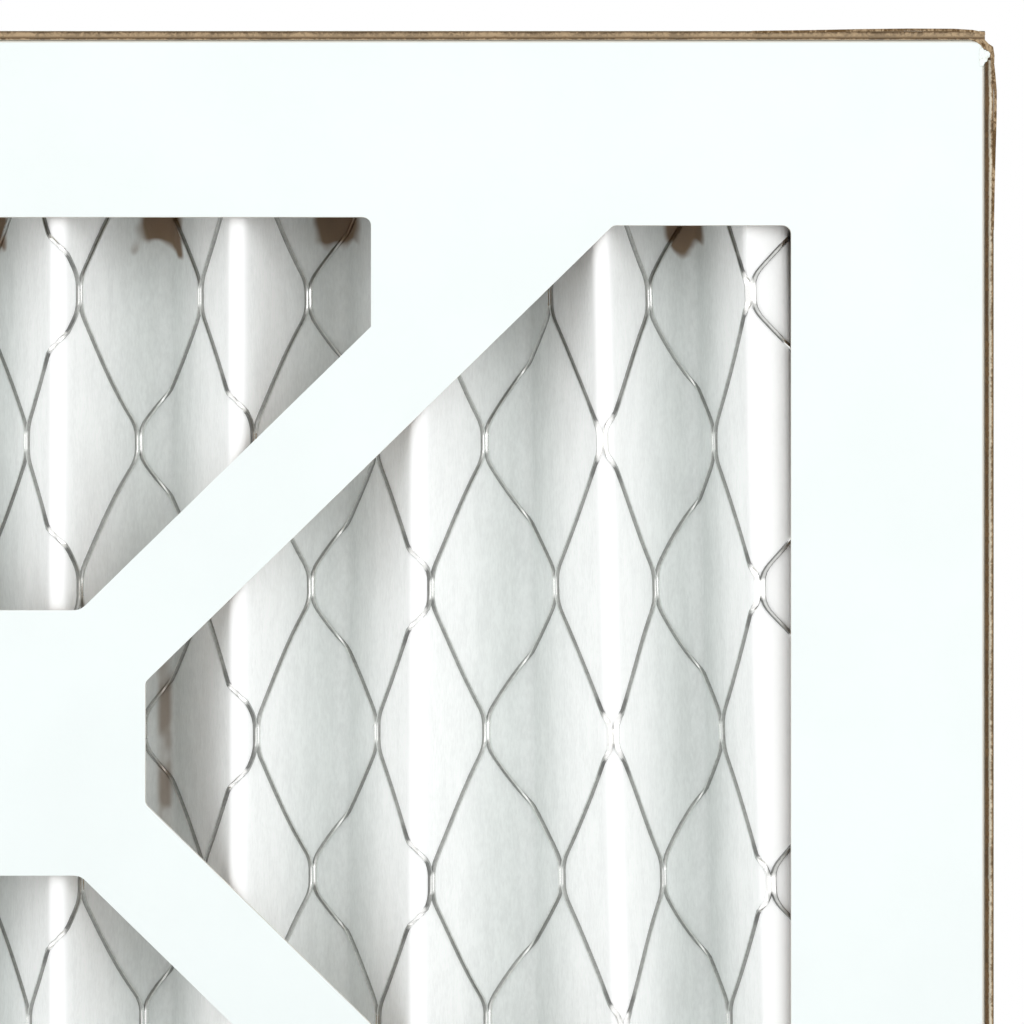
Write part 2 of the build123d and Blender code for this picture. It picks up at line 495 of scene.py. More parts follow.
def new_bar(name, middle, size):
    """A block of this size to extrude from."""
    bpy.ops.object.select_all(action="DESELECT")
    bpy.ops.mesh.primitive_cube_add(size=1, location=middle)
    bar = bpy.context.object
    bar.scale = size
    settle(bar, name)
    return bar


def trim(place, normal, keep_beyond):
    """In edit mode, cuts everything at a plane, closes the cut and keeps one side."""
    bpy.ops.mesh.select_all(action="SELECT")
    bpy.ops.mesh.bisect(
        plane_co=place,
        plane_no=normal,
        use_fill=True,
        clear_inner=keep_beyond,
        clear_outer=not keep_beyond,
    )


def runs_upright(edge):
    along = edge.verts[0].co - edge.verts[1].co
    return abs(along.z) > abs(along.x) + abs(along.y)


# ---------------------------------------------------------------------------------------------
# The fold line: the front of the felt, seen from above

# How far each front tip and each rear fold stands from its even place, in millimetres, left to right.
TIP_SHIFTS = (0.0, 0.25, -0.3, 0.2, -0.15, 0.3, -0.2, 0.1, -0.14, -0.15, -0.16, 1.35, -1.65, 0.0)
FOLD_SHIFTS = (0.2, 0.35, 0.1, 0.4, 0.2, 0.45, 0.3, 0.5, 0.8, 1.0, 1.3, 1.7, 1.5)
WIDE_TIP = 12  # this tip was pressed wide, and slopes back a little
WIDE_TIP_REACH = (2.95, 1.0, 0)  # how much further right and back its right crease stands
SHADE_STREAK_X = 37.6  # where a painted brown shade runs down a fold, beside the frame
REFERENCE_TIP = 8  # the tip from which the metal's bonds are measured
FLANK_RESOLUTION = 24
BEND_HANDLE = 0.3  # length of a handle in a bend, as a share of the bend's reach
CAGE_ROWS = 7
WAVER = 0.1  # how far a pleat strays to either side, in millimetres
# How far each tip and fold leans sideways for each length of height, by its number from the right end.
LEANS = {6: 0.0025, 5: 0.02375, 4: 0.01875, 3: 0.025, 2: 0.0125}


def even_tips(pleats):
    """X of the tips if they were evenly spaced; the end ones stand where the metal ends."""
    last = METAL_HIGH.x - pleats.tip_flat
    spacing = 2 * last / (pleats.tips - 1)
    return [index * spacing - last for index in range(pleats.tips)]


def backwards(points):
    """The same control points met from the other end."""
    return [(kind, at, after, before) for kind, at, before, after in points[::-1]]


def fold_points(pleats):
    """Control points of the fold line as (what it is, place, handle before, handle after)."""
    crest = PACK_LOW.y
    trough = PACK_HIGH.y - pleats.thickness
    half_flat = Vector((pleats.tip_flat / 2, 0, 0))
    reach = pleats.shoulder
    hollow = pleats.hollow
    tips = [x + shift * MM for x, shift in zip(even_tips(pleats), TIP_SHIFTS)]
    folds = [(a + b) / 2 + shift * MM for a, b, shift in zip(tips, tips[1:], FOLD_SHIFTS)]
    points = []

    def add_tip(index):
        left = Vector((tips[index], crest, 0)) - half_flat
        right = Vector((tips[index], crest, 0)) + half_flat
        if index == WIDE_TIP:
            right += Vector(WIDE_TIP_REACH) * MM
        points.append(("crease", left, left - half_flat / 4, left.lerp(right, 0.25)))
        points.append(("crease", right, right.lerp(left, 0.25), right + half_flat / 4))
        return right

    def add_end(x, order):
        heel = Vector((x, PACK_HIGH.y, 0))
        knee = Vector((x, crest + 2 * reach, 0))
        inner = heel.lerp(knee, BEND_HANDLE)
        bend = ("bend", knee, knee.lerp(heel, BEND_HANDLE), knee + Vector((0, -reach, 0)))
        ends = [("end", heel, heel, inner), bend]
        points.extend(ends if order > 0 else backwards(ends))

    add_end(PACK_LOW.x, 1)
    crease = add_tip(0)
    for index, fold_x in enumerate(folds):
        fold = Vector((fold_x, trough, 0))
        for side, begin, flare in (
            (1, crease, pleats.right_flare),
            (-1, Vector((tips[index + 1], crest, 0)) - half_flat, pleats.left_flare),
        ):
            mean = atan2(trough - crest, abs(fold.x - begin.x))
            at_tip = Vector((side * cos(mean + pleats.bow), sin(mean + pleats.bow), 0))
            at_fold = Vector((side * cos(mean - flare), sin(mean - flare), 0))
            level = Vector((side, 0, 0))
            shoulder = begin + (level + at_tip) * reach / 2
            heel = fold - (level + at_fold) * hollow / 2
            third = (heel - shoulder).length / 3
            flank = [
                ("bend", shoulder, shoulder - at_tip * reach * BEND_HANDLE, shoulder + at_tip * third),
                ("bend", heel, heel - at_fold * third, heel + at_fold * hollow * BEND_HANDLE),
            ]
            if side > 0:
                round_out = level * hollow * BEND_HANDLE
                points.extend([*flank, ("fold", fold, fold - round_out, fold + round_out)])
            else:
                points.extend(backwards(flank))
        crease = add_tip(index + 1)
    add_end(PACK_HIGH.x, -1)
    return points


def draw_fold_line(pleats):
    """The fold line as a curve, with the distance along it of every crease, and its length."""
    bpy.ops.object.select_all(action="DESELECT")
    bpy.ops.curve.primitive_bezier_curve_add(location=(0, 0, 0))
    line = bpy.context.object
    line.name = "fold_line"
    line.data.dimensions = "2D"
    line.data.resolution_u = FLANK_RESOLUTION
    points = fold_points(pleats)
    controls = line.data.splines[0].bezier_points
    controls.add(len(points) - len(controls))
    for control, (_, place, before, after) in zip(controls, points):
        control.handle_left_type = "FREE"
        control.handle_right_type = "FREE"
        control.co = place
        control.handle_left = before
        control.handle_right = after

    run = 0.0
    creases = []
    for (kind, place, _, after), (_, next_place, before, _) in zip(points, points[1:]):
        if kind == "crease":
            creases.append(run)
        steps = interpolate_bezier(place, after, before, next_place, FLANK_RESOLUTION + 1)
        run += sum((b - a).length for a, b in zip(steps, steps[1:]))
    return line, creases, run


def ease_pleats(pieces, pleats):
    """The pack stands a little unevenly: its pleats waver, and those at the right lean as they go down."""
    tips = even_tips(pleats)
    columns = 2 * pleats.tips - 1
    rows = CAGE_ROWS
    bpy.ops.object.select_all(action="DESELECT")
    bpy.ops.object.add(type="LATTICE", location=((tips[0] + tips[-1]) / 2, 0, MIDDLE_Z))
    cage = bpy.context.object
    cage.data.points_u, cage.data.points_v, cage.data.points_w = columns, 2, rows
    cage.data.interpolation_type_u = "KEY_CARDINAL"
    cage.data.interpolation_type_v = "KEY_LINEAR"
    cage.data.interpolation_type_w = "KEY_CARDINAL"
    grid = [Vector(point.co) for point in cage.data.points]
    for axis, size in enumerate((tips[-1] - tips[0], PANEL_SIZE.y, PACK_HIGH.z - PACK_LOW.z)):
        extent = max(p[axis] for p in grid) - min(p[axis] for p in grid)
        cage.scale[axis] = size / extent
    dice = random.Random(5)
    for number, (point, place) in enumerate(zip(cage.data.points, grid)):
        column = number % columns
        row = number // (2 * columns)
        if 1 < column < columns - 2:
            waver = dice.uniform(-WAVER, WAVER) * MM
        else:
            waver = 0.0
        height = (row / (rows - 1) - 0.5) * (PACK_HIGH.z - PACK_LOW.z)
        shift = waver - LEANS.get(columns - column, 0.0) * height
        point.co_deform = place + Vector((shift / cage.scale[0], 0, 0))
    for piece in pieces:
        modify(piece, "LATTICE", object=cage)
    bpy.data.objects.remove(cage)


# ---------------------------------------------------------------------------------------------
# Pieces


def felt_material(pleats):
    """Fluffy nonwoven, smooth on the pressed tips and drawn pure white there, pressed felt with a painted
    highlight; greyer down in the folds by painted shade, with painted brown shade at the tops of the folds.
    """
    material, tree, shader = new_material("felt", Specular_IOR_Level=0.2, Sheen_Weight=0.1)
    point = object_point(tree)
    depth = apart(tree, point)["Y"]
    fibres = place_group(tree, "fibres", Point=point, Stretch=(1.0, 1.0, 0.35), Scale=3.2, Swirl=0.0)
    pressed = ramp(tree, depth, PACK_LOW.y / MM + 0.05, PACK_LOW.y / MM + 1.6, 1.0, 0.0)
    # Painted shade: the felt greys towards the rear folds, by its depth in the pack.
    low = ramp(tree, depth, -2.0, (PACK_HIGH.y - pleats.thickness) / MM, 0.0, 1.0)
    base = blend(tree, low, opaque(pleats.colour), opaque(pleats.fold_shade_colour))
    cloudy = ramp(tree, fibres["Mask"], 0.3, 0.7, 0.92, 1.04)
    # The pressed tips are drawn pure white without fibre cloudiness: pressed felt and a painted highlight.
    clean = blend(tree, pressed, scaled(tree, base, cloudy), opaque(linear(254, 255, 255)))
    facing = apart(tree, put(tree, "TexCoord").outputs["Normal"])["Y"]
    in_front = ramp(tree, facing, -0.05, 0.05, 1.0, 0.0)
    # Painted shade: the brown shade at the fold tops and down one fold, on faces turned to the front.
    brown_shade = calc(tree, "MULTIPLY", place_group(tree, "smears", Point=point)["Mask"], in_front)
    height = calc(tree, "MULTIPLY", fibres["Height"], calc(tree, "SUBTRACT", 1.0, pressed))
    feed(
        tree,
        shader,
        Base_Color=blend(tree, brown_shade, clean, opaque(pleats.brown_shade_colour)),
        Roughness=ramp(tree, pressed, 0.0, 1.0, 0.92, 0.5),
        Normal=bumped(tree, height, 0.35, 0.12 * MM),
    )
    return material


FELT_CUTS = 31  # made twice, so that the sheet is in 1024 strips across
FELT_ROWS = 24
RECOVERY = 0.33  # thickness that the felt regains for each length away from a tip


def make_felt(pleats):
    """A flat sheet of felt, folded along the fold line and given its thickness behind it."""
    line, creases, run = draw_fold_line(pleats)
    height = PACK_HIGH.z - PACK_LOW.z
    bpy.ops.object.select_all(action="DESELECT")
    bpy.ops.mesh.primitive_plane_add(
        size=1, location=(run / 2, 0, (PACK_LOW.z + PACK_HIGH.z) / 2), rotation=(pi / 2, 0, 0)
    )
    sheet = bpy.context.object
    sheet.scale = (run, height, 1)
    settle(sheet, "felt_pack")
    edit(sheet)
    for _ in range(2):
        pick(sheet, "edges", lambda edge: not runs_upright(edge))
        bpy.ops.mesh.subdivide(number_cuts=FELT_CUTS)
    pick(sheet, "edges", runs_upright)
    bpy.ops.mesh.subdivide(number_cuts=FELT_ROWS - 1)
    leave_edit()

    thinning = sheet.vertex_groups.new(name="thickness")
    for vertex in sheet.data.vertices:
        away = min(abs(vertex.co.x - crease) for crease in creases)
        thick = min(pleats.thickness, pleats.pressed + RECOVERY * max(0.0, away - pleats.tip_flat / 2))
        thinning.add([vertex.index], thick / pleats.thickness, "REPLACE")
    modify(sheet, "CURVE", object=line, deform_axis="POS_X")
    ease_pleats([sheet], pleats)
    modify(
        sheet,
        "SOLIDIFY",
        thickness=pleats.thickness,
        offset=-1,
        vertex_group="thickness",
        use_rim=True,
    )
    only(sheet)
    bpy.ops.object.shade_smooth_by_angle(angle=radians(50))
    bpy.data.objects.remove(line)
    dress(sheet, felt_material(pleats))
    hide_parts("pleated_media")
    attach(sheet, "root")
    return sheet


def metal_material(backing):
    """Dull sheared steel with painted highlights on its bends and on the flats of its bonds, painted shade on
    the sides of its strands, a painted dark reflection near the front, and the felt's painted brown shade.
    """
    material, tree, shader = new_material("expanded_metal", Metallic=1.0)
    from_bend, bond, side = (
        put(tree, "Attribute", attribute_name=name).outputs["Fac"] for name in ("from_bend", "bond", "side")
    )
    # Painted highlight: near white within 0.2 to 0.5 mm of a crease and on the bonds.
    painted_glint = calc(tree, "MAXIMUM", ramp(tree, from_bend, 0.2, 0.5, 1.0, 0.0), bond)
    point = object_point(tree)
    drawn = place_group(tree, "fibres", Point=point, Scale=2.2, Swirl=0.4)
    # Painted shade: the same brown shade as on the felt.
    brown_shade = place_group(tree, "smears", Point=point)["Mask"]
    # Painted shade: the sides of the strands take the darker side colour.
    dull = blend(tree, side, opaque(backing.face_colour), opaque(backing.side_shade_colour))
    # Painted reflection: metal at the front of the pack, on the tips, is drawn at 0.6 of its colour, rising
    # to full 2 mm back, for the dark it mirrors there; cloudy carries this and random tone.
    dark_reflection = ramp(tree, apart(tree, point)["Y"], PACK_LOW.y / MM + 0.9, PACK_LOW.y / MM + 2.0, 0.6, 1.0)
    cloudy = calc(tree, "MULTIPLY", ramp(tree, drawn["Mask"], 0.25, 0.75, 0.8, 1.1), dark_reflection)
    metal = blend(tree, painted_glint, scaled(tree, dull, cloudy), opaque(backing.glint_colour))
    feed(
        tree,
        shader,
        Base_Color=blend(tree, brown_shade, metal, opaque(settings().pleats.brown_shade_colour)),
        Roughness=ramp(tree, painted_glint, 0.0, 1.0, 0.42, 0.25),
        Normal=bumped(tree, drawn["Height"], 0.2, 0.03 * MM),
    )
    return material


STRAND_STEPS = 28  # from bond to bond
BOND_STEPS = 3
EASE = 0.14  # share of a strand over which it turns out of a bond
BOND_SPREAD = 0.48  # how far a bonded strand's middle stands from the bond's, in strand widths
STRAND_BEVEL = 0.22  # bevel of a strand's front edges, in strand widths
BOND_REACH = 2.4 * MM  # a column of bonds, askew as it stands, is within this of its middle


def eased(share):
    """How far out a strand is: it turns out of its bond, runs straight and turns into the next."""
    if share > 0.5:
        return 1 - eased(1 - share)
    if share < EASE:
        return share * share / (2 * EASE) / (1 - EASE)
    return (share - EASE / 2) / (1 - EASE)


def strand_steps(backing, short_way, way, lean):
    """Steps of one strand over a whole mesh: up a bond, out to the next, up that one and back."""
    rise = backing.long_way / 2 - backing.bond
    swing = short_way / 2 - backing.strand
    shares = [index / STRAND_STEPS for index in range(STRAND_STEPS + 1)]
    outward = [eased(share) for share in shares]
    for side in (way, -way):
        up = backing.bond / BOND_STEPS
        yield from [Vector((-lean * up, 0, up))] * BOND_STEPS
        up = rise / STRAND_STEPS
        for before, after in zip(outward, outward[1:]):
            yield Vector((side * swing * (after - before) - lean * up, 0, up))


def make_strand(backing, short_way, way, lean, bottom_bond, meshes):
    """One zigzag strand, swinging first to this way from the bond at bottom_bond."""
    short = backing.bond / 100
    aside = way * BOND_SPREAD * backing.strand
    foot = bottom_bond + Vector((aside, -backing.metal / 2, -backing.bond / 2))
    strand = new_bar("strand", foot - Vector((0, 0, short / 2)), (backing.strand, backing.metal, short))
    edit(strand)
    middle = -backing.metal / 2
    pick(strand, "edges", lambda edge: runs_upright(edge) and edge.verts[0].co.y < middle)
    bpy.ops.mesh.bevel(offset=STRAND_BEVEL * backing.strand, segments=1)
    pick(strand, "faces", lambda face: face.normal.z > 0.9)
    for _ in range(meshes):
        for step in strand_steps(backing, short_way, way, lean):
            bpy.ops.mesh.extrude_region_move(TRANSFORM_OT_translate={"value": step})
    for height, keep_above in ((PACK_LOW.z, True), (PACK_HIGH.z, False)):
        trim((0, 0, height), (0, 0, 1), keep_above)
    leave_edit()
    return strand


def mark_metal(wires, backing, short_way, reference, lean, bends):
    """Notes on the flat sheet where it will be bent and where two strands are one, for the material."""
    mesh = wires.data
    from_bend = mesh.attributes.new("from_bend", "FLOAT", "POINT")
    bond = mesh.attributes.new("bond", "FLOAT", "POINT")
    side = mesh.attributes.new("side", "FLOAT", "FACE")
    row_gap = backing.long_way / 2
    for number, vertex in enumerate(mesh.vertices):
        u, _, z = vertex.co
        from_bend.data[number].value = min(abs(u - bend) for bend in bends) / MM
        up = z - backing.bond_height
        row = round(up / row_gap)
        along = abs(up - row * row_gap)
        column = (u + lean * up - reference) / short_way - row / 2
        across = abs(column - round(column)) * short_way
        on_bond = min(1.0, max(0.0, (backing.bond / 2 + 0.4 * MM - along) / (0.4 * MM)))
        bond.data[number].value = on_bond if across < 0.9 * backing.strand else 0.0
    for face in mesh.polygons:
        side.data[face.index].value = 0.0 if face.normal.y < -0.95 else 1.0


def clear_of_bonds(cut, reference, column_gap, is_left):
    """Moves a cut across the sheet inward until it misses every column of bonds."""
    into_band = (cut - reference + BOND_REACH) % column_gap
    if into_band >= 2 * BOND_REACH:
        return cut
    return cut + (2 * BOND_REACH - into_band if is_left else -into_band)


def make_backing(pleats, backing):
    """Zigzag strands side by side, joined at their bonds, then folded with the felt."""
    line, creases, run = draw_fold_line(pleats)
    left_creases = creases[::2]
    pleat = (left_creases[-2] - left_creases[1]) / (pleats.tips - 3)
    short_way = pleat / backing.meshes
    lean = sin(backing.askew)
    reference = left_creases[REFERENCE_TIP] + pleats.tip_flat / 2 + backing.bond_after_tip
    below = ceil((backing.bond_height - PACK_LOW.z) / backing.long_way) + 1
    above = ceil((PACK_HIGH.z - backing.bond_height) / backing.long_way) + 1
    before = ceil(reference / short_way) + 1
    drop = below * backing.long_way
    bottom_bond = Vector((reference - before * short_way + lean * drop, 0, backing.bond_height - drop))
    pair = [make_strand(backing, short_way, way, lean, bottom_bond, below + above) for way in (-1, 1)]
    only(pair[0])
    pair[1].select_set(True)
    bpy.ops.object.join()
    wires = bpy.context.object
    settle(wires, "metal_backing")
    modify(
        wires,
        "ARRAY",
        count=ceil(run / short_way) + 3,
        use_relative_offset=False,
        use_constant_offset=True,
        constant_offset_displace=(short_way, 0, 0),
    )
    edit(wires)
    for crease, is_left in ((creases[0], True), (creases[-1], False)):
        trim((clear_of_bonds(crease, reference, short_way / 2, is_left), 0, 0), (1, 0, 0), is_left)
    leave_edit()
    mark_metal(wires, backing, short_way, reference, lean, creases)
    modify(wires, "CURVE", object=line, deform_axis="POS_X")
    ease_pleats([wires], pleats)
    bpy.data.objects.remove(line)
    only(wires)
    bpy.ops.object.shade_smooth_by_angle(angle=radians(28))
    dress(wires, metal_material(backing))
    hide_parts("support_mesh")
    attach(wires, "root")
    return wires


def paper_group():
    """Calendered paper: faint cloudiness, fine grain and the height of its pits."""
    group, given, result = new_group(
        "paper",
        [("Point", "NodeSocketVector", None)],
        [("Cloud", "NodeSocketFloat"), ("Height", "NodeSocketFloat")],
    )
    cloud = put(group, "TexNoise", {"Vector": given["Point"], "Scale": 0.06, "Detail": 3.0}).outputs["Fac"]
    grain = put(group, "TexNoise", {"Vector": given["Point"], "Scale": 2.5, "Detail": 4.0}).outputs["Fac"]
    group.links.new(cloud, result["Cloud"])
    group.links.new(grain, result["Height"])
    return group


def ply_ramp(tree, place, stops):
    """A colour ramp across the thickness of the board, from its outer face at 0 to its inner face at 1."""
    plies = put(tree, "ValToRGB", {"Fac": place})
    elements = plies.color_ramp.elements
    while len(elements) < len(stops):
        elements.new(0.5)
    for element, (position, colour) in zip(elements, stops):
        element.position = position
        element.color = opaque(colour)
    return plies.outputs["Color"]


def board_material(board):
    """Clay-coated board: white outside, kraft inside, its plies showing on the rim where it is cut."""
    material, tree, shader = new_material("clay_coated_board", Specular_IOR_Level=0.35)
    point = object_point(tree)
    place = apart(tree, point)
    half = PANEL_SIZE / 2 / MM
    board_mm = board.board / MM
    from_side = calc(tree, "SUBTRACT", half.x, calc(tree, "ABSOLUTE", place["X"]))
    from_top = calc(tree, "SUBTRACT", half.z, calc(tree, "ABSOLUTE", place["Z"]))
    inward = calc(tree, "MINIMUM", from_side, from_top)
    from_front = calc(tree, "ADD", half.y, place["Y"])
    from_back = calc(tree, "SUBTRACT", half.y, place["Y"])

    paper = place_group(tree, "paper", Point=point)
    fibres = place_group(tree, "fibres", Point=point, Scale=2.4, Swirl=0.8)["Mask"]
    at_front = calc(tree, "LESS_THAN", from_front, 0.06)
    rim = calc(tree, "LESS_THAN", inward, board_mm)
    on_face = calc(tree, "MULTIPLY", at_front, calc(tree, "SUBTRACT", 1.0, rim))
    on_side = calc(tree, "LESS_THAN", calc(tree, "MINIMUM", inward, from_back), 0.05)
    on_bend = calc(tree, "LESS_THAN", calc(tree, "MAXIMUM", inward, from_back), 0.6)
    coated = calc(tree, "MAXIMUM", on_face, calc(tree, "MAXIMUM", on_side, on_bend))

    wobble = calc(tree, "MULTIPLY_ADD", fibres, 0.5, -0.25)
    across = calc(tree, "ADD", calc(tree, "DIVIDE", inward, board_mm), wobble)
    core, dark, pale = board.core, board.dark, board.pale
    level_plies = ((0.0, core), (0.13, dark), (0.38, core), (0.6, core), (0.85, dark), (1.0, core))
    level = ply_ramp(tree, across, level_plies)
    # Painted shade: the dark stop at 0.64, next to the face, stands for the shadowed gap between the face and
    # the side wall.
    upright_plies = ((0.0, core), (0.12, dark), (0.25, board.kraft), (0.38, pale), (0.5, pale), (0.64, dark))
    upright = ply_ramp(tree, across, upright_plies)
    at_side = calc(tree, "LESS_THAN", from_side, from_top)
    plies = blend(tree, at_side, level, upright)
    worn = ramp(tree, paper["Cloud"], 0.62, 0.7, 0.0, 0.8)
    plies = blend(tree, worn, plies, opaque(pale))
    rim_colour = scaled(tree, plies, ramp(tree, fibres, 0.38, 0.62, 0.55, 1.0))

    kraft = scaled(tree, board.kraft, ramp(tree, fibres, 0.3, 0.7, 0.85, 1.1))
    through = calc(tree, "LESS_THAN", from_front, board_mm * 0.98)
    brown = blend(tree, through, kraft, opaque(board.cut))
    brown = blend(tree, calc(tree, "MULTIPLY", at_front, rim), brown, rim_colour)
    clay = scaled(tree, board.clay, ramp(tree, paper["Cloud"], 0.3, 0.7, 0.985, 1.01))
    feed(
        tree,
        shader,
        Base_Color=blend(tree, coated, brown, clay),
        Roughness=ramp(tree, coated, 0.0, 1.0, 0.95, 0.55),
        Normal=bumped(tree, paper["Height"], 0.15, 0.05 * MM),
    )
    return material


# The worn upper right corner, seen from the front: x and z in millimetres.
SIDE_LINER = (
    (123.74, 143.4), (123.95, 141.6), (124.1, 139.8), (124.08, 137.0), (123.98, 133.6), (123.88, 129.6),
    (123.8, 125.6),
)
TOP_LINER = (
    (122.85, 145.86), (121.6, 146.12), (119.6, 146.24), (115.0, 146.26), (110.0, 146.2), (105.0, 146.1),
    (99.0, 146.02),
)
# Its points from (123.72, 144.4) round to (123.4, 143.7) cover a dark gap at the top of the side rim: painted
# shade drawn as torn board; the rest is torn board.
TORN_BOARD = (
    (121.6, 145.1), (122.85, 145.12), (123.25, 144.7), (123.72, 144.4), (123.86, 143.5), (123.84, 142.7),
    (123.5, 142.8), (123.4, 143.7), (122.95, 144.15), (122.72, 144.1), (122.5, 144.5), (122.05, 144.85),
)
TUFT = (
    (122.3, 144.25), (122.62, 144.3), (122.85, 143.95), (123.2, 143.95), (123.42, 143.7), (123.36, 143.35),
    (123.16, 143.2), (123.1, 142.9), (122.86, 142.75), (122.7, 142.4), (122.3, 142.4),
)


LINER_STEPS = 3  # between two points of a liner's line
SCRAP_LIP = 0.05 * MM  # how far a scrap's worn edge slopes, across and forward


def torn_material(board):
    """Fibrous torn board, with painted shade darkening its pits."""
    material, tree, shader = new_material("torn_board", Roughness=1.0, Specular_IOR_Level=0.1)
    point = object_point(tree)
    fibres = place_group(tree, "fibres", Point=point, Stretch=(1.0, 1.0, 0.6), Scale=2.6, Swirl=1.5)
    # Painted shade: the fibres' low places, their pits, are drawn in the dark colour.
    tone = ramp(tree, fibres["Mask"], 0.44, 0.64)
    colour = blend(tree, tone, opaque(board.dark), opaque(board.core))
    feed(tree, shader, Base_Color=colour, Normal=bumped(tree, fibres["Height"], 0.8, 0.2 * MM))
    return material


def tuft_material():
    """White paper fibres pulled out of the clay coat."""
    material, tree, shader = new_material("torn_paper", Roughness=0.9, Specular_IOR_Level=0.2)
    point = object_point(tree)
    fibres = place_group(tree, "fibres", Point=point, Scale=3.0, Swirl=1.0)
    tone = ramp(tree, fibres["Mask"], 0.35, 0.5)
    colour = blend(tree, tone, opaque(linear(214, 216, 206)), opaque(linear(236, 242, 240)))
    feed(tree, shader, Base_Color=colour, Normal=bumped(tree, fibres["Height"], 0.5, 0.1 * MM))
    return material


def lay_liner(name, line, thickness, outward):
    """A loose liner as deep as the panel, led along its outer line; outward is the way it faces."""
    along = Vector((0, 0, -1)) if outward.x else Vector((-1, 0, 0))
    begin = Vector((line[0][0], 0, line[0][1])) * MM
    first = 0.05 * MM
    depth = Vector((0, PANEL_SIZE.y + 0.06 * MM, 0))
    size = outward * thickness + depth + Vector([abs(v) for v in along]) * first
    liner = new_bar(name, begin - outward * thickness / 2 - along * first / 2, size)
    edit(liner)
    pick(liner, "faces", lambda face: face.normal.dot(along) > 0.9)
    for (x, z), (next_x, next_z) in zip(line, line[1:]):
        step = Vector((next_x - x, 0, next_z - z)) * MM
        for _ in range(LINER_STEPS):
            bpy.ops.mesh.extrude_region_move(TRANSFORM_OT_translate={"value": step / LINER_STEPS})
    leave_edit()
    return liner


def cut_scrap(name, outline, front, back):
    """A flat scrap of board with this ragged outline, standing just proud of the face."""
    bpy.ops.object.select_all(action="DESELECT")
    bpy.ops.mesh.primitive_circle_add(vertices=len(outline), fill_type="NGON", location=(0, 0, 0))
    scrap = bpy.context.object
    settle(scrap, name)
    for vertex, (x, z) in zip(scrap.data.vertices, outline):
        vertex.co = Vector((x * MM, back, z * MM))
    edit(scrap)
    bpy.ops.mesh.select_all(action="SELECT")
    bpy.ops.mesh.extrude_region_move(TRANSFORM_OT_translate={"value": (0, front - back, 0)})
    bpy.ops.mesh.select_all(action="SELECT")
    bpy.ops.mesh.normals_make_consistent(inside=False)
    pick(scrap, "faces", lambda face: face.normal.y < -0.9)
    bpy.ops.mesh.inset(thickness=SCRAP_LIP)
    bpy.ops.transform.translate(value=(0, -SCRAP_LIP, 0))
    leave_edit()
    return scrap


def wear_corner(board):
    """Splits the plies of the walls near the upper right corner and tears the face's own corner."""
    clay = bpy.data.materials["clay_coated_board"]
    torn = torn_material(board)
    liners = [
        lay_liner("side_liner", SIDE_LINER, 0.3 * MM, Vector((1, 0, 0))),
        lay_liner("top_liner", TOP_LINER, 0.25 * MM, Vector((0, 0, 1))),
    ]
    for liner in liners:
        dress(liner, clay)
        liner.data.materials.append(torn)
        for face in liner.data.polygons:
            face.material_index = 1 if abs(face.normal.y) > 0.5 else 0
    front = PANEL_LOW.y
    scraps = [
        cut_scrap("torn_corner", TORN_BOARD, front - 0.01 * MM, front + 0.5 * MM),
        cut_scrap("paper_tuft", TUFT, front - 0.05 * MM, front + 0.4 * MM),
    ]
    dress(scraps[0], torn)
    dress(scraps[1], tuft_material())
    for piece in liners + scraps:
        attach(piece, "root")


def glue_material():
    """Set hot melt: cream, waxy and a little lumpy."""
    material, tree, shader = new_material(
        "hot_melt", Roughness=0.45, Subsurface_Weight=0.1, Subsurface_Scale=0.001
    )
    point = object_point(tree)
    paper = place_group(tree, "paper", Point=point)
    fibres = place_group(tree, "fibres", Point=point, Stretch=(0.3, 1.0, 1.0), Scale=0.6, Swirl=1.0)
    colour = blend(tree, paper["Cloud"], opaque(linear(226, 214, 178)), opaque(linear(240, 232, 204)))
    feed(tree, shader, Base_Color=colour, Normal=bumped(tree, fibres["Height"], 0.5, 0.2 * MM))
    return material


class FILTER_OT_board(bpy.types.Operator):
    """Gives the two halves of the frame their clay coat, kraft inside and cut plies"""

    bl_idname = "panel_filter.board"
    bl_label = "Frame board"

    def execute(self, context):
        material = board_material(settings().board)
        for node in ("front_frame", "rear_frame"):
            dress(bpy.data.objects[node], material)
        return {"FINISHED"}


class FILTER_OT_corner(bpy.types.Operator):
    """Wears the upper right corner of the frame"""

    bl_idname = "panel_filter.corner"
    bl_label = "Worn corner"

    def execute(self, context):
        wear_corner(settings().board)
        return {"FINISHED"}


class FILTER_OT_felt(bpy.types.Operator):
    """Folds the felt pack and puts it in place of the plain one"""

    bl_idname = "panel_filter.felt"
    bl_label = "Felt pack"

    def execute(self, context):
        make_felt(settings().pleats)
        return {"FINISHED"}


class FILTER_OT_backing(bpy.types.Operator):
    """Draws the expanded metal, folds it over the felt and puts it in place of the plain one"""

    bl_idname = "panel_filter.backing"
    bl_label = "Metal backing"

    def execute(self, context):
        make_backing(settings().pleats, settings().backing)
        return {"FINISHED"}


class FILTER_OT_glue(bpy.types.Operator):
    """Gives the beads at the ends of the pleats the look of set hot melt"""

    bl_idname = "panel_filter.glue"
    bl_label = "Edge glue"

    def execute(self, context):
        dress(bpy.data.objects["edge_sealant"], glue_material())
        return {"FINISHED"}


def look_at(thing, target):
    """Turns a lamp or camera, whose forward is its own -Z, to a point."""
    thing.rotation_euler = (Vector(target) - thing.location).to_track_quat("-Z", "Y").to_euler()


def add_lamp(name, place, target, size, power):
    bpy.ops.object.light_add(type="AREA", location=place)
    lamp = bpy.context.object
    lamp.name = name
    lamp.data.name = name
    lamp.data.size = size
    lamp.data.energy = power
    look_at(lamp, target)


